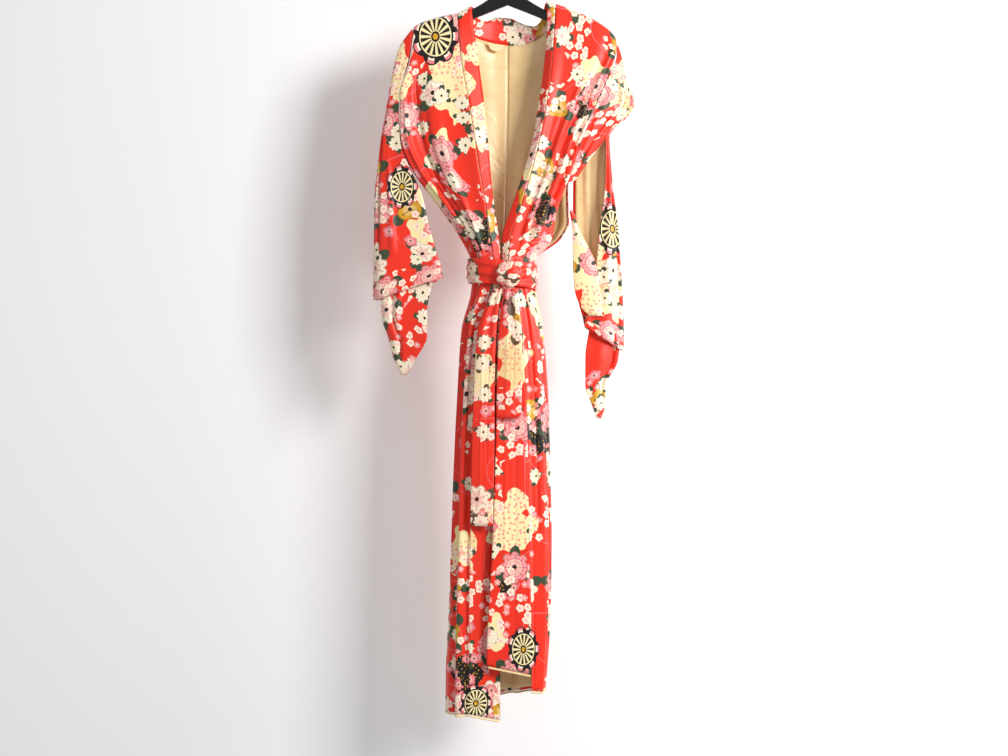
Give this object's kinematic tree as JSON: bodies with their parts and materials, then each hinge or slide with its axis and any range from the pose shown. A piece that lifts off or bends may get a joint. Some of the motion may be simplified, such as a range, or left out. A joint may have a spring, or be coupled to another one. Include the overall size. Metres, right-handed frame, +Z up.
{
  "type": "lined kimono robe on a hanger",
  "caption": "Long lined silk kimono robe with a floral print, hanging on a plastic coat hanger, its fronts drawn together by a tied belt of the same cloth.",
  "frame": {"origin": "the point inside the top of the hanger's hook, where the rail bears", "axes": "+Z up, the front of the robe faces -Y, +X is the wearer's left"},
  "size_m": [0.5521, 0.154, 1.6057],
  "materials": {
    "silk": "printed silk crepe, soft sheen",
    "lining": "plain silk lining, satin sheen",
    "plastic": "black moulded plastic",
    "steel": "bright wire"
  },
  "bodies": {
    "root": {"front_right": "silk", "front_left": "silk", "back_right": "silk", "back_left": "silk", "overlap_right": "silk", "overlap_left": "silk", "collar": "silk", "sleeve_right": "silk", "sleeve_right_back": "silk", "sleeve_left": "silk", "sleeve_left_back": "silk", "sleeve_left_top": "silk", "belt_band": "silk", "belt_knot": "silk", "belt_end_short": "silk", "belt_end_long": "silk", "lining_right": "lining", "lining_left": "lining", "hem_front_right": "lining", "hem_front_left": "lining", "hem_back_right": "lining", "hem_back_left": "lining", "hem_overlap_right": "lining", "hem_overlap_left": "lining", "sleeve_right_lining": "lining", "sleeve_left_lining": "lining", "sleeve_left_turnback": "lining", "neck_tab": "lining", "hanger": "plastic", "hanger_hook": "steel"}
  },
  "joints": []
}
